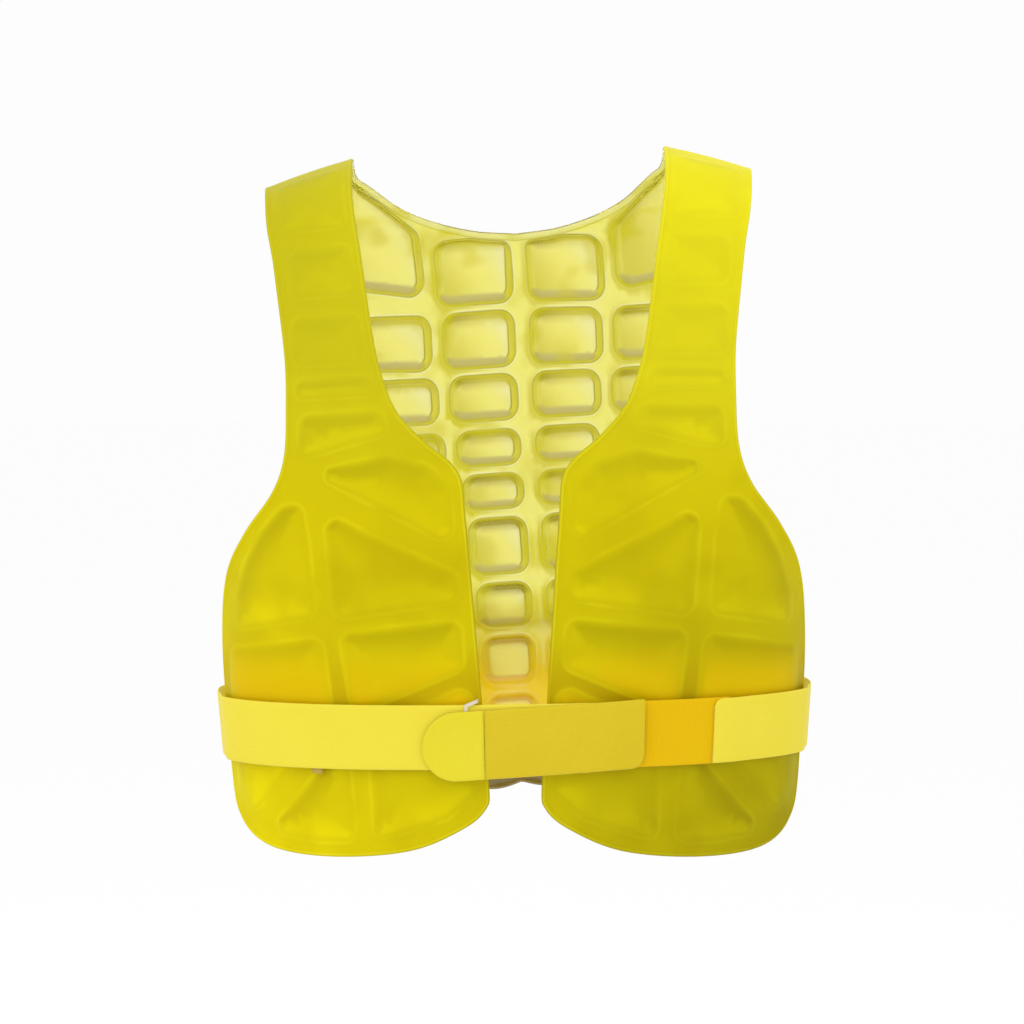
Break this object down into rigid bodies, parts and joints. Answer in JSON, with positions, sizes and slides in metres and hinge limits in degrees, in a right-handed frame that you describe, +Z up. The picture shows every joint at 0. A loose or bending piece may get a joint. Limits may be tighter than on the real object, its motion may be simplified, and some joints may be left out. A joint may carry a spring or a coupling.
{
  "type": "cooling vest",
  "caption": "Welded-film cooling vest of moulded coolant cells, open at the front, worn over the shoulders and held by a webbing belt with a hook-and-loop tab.",
  "frame": {"origin": "midway between the tops of the two shoulder straps, where the vest sits on the shoulders", "axes": "+Z up, the front faces -Y, +X towards the wearer's left (the viewer's right)"},
  "size_m": [0.4433, 0.2253, 0.5145],
  "materials": {
    "front_film": "frosted translucent yellow polyurethane film over coolant",
    "back_film": "glossy moulded inner film, frosted outer film",
    "band_webbing": "fine ribbed lemon-yellow webbing",
    "orange_elastic": "woven elastic, warm yellow-orange",
    "strap_webbing": "loop-faced webbing, warm yellow",
    "tab_webbing": "loop-faced webbing, lemon yellow",
    "hook_tape": "off-white hook tape",
    "anchor_tape": "beige tape"
  },
  "bodies": {
    "root": {"left_front_panel": "front_film", "right_front_panel": "front_film", "back_panel": "back_film", "belt_band": "band_webbing", "belt_elastic": "orange_elastic", "belt_strap": "strap_webbing", "belt_tab": "tab_webbing", "hook_tape": "hook_tape", "anchor_tape": "anchor_tape"}
  },
  "joints": []
}
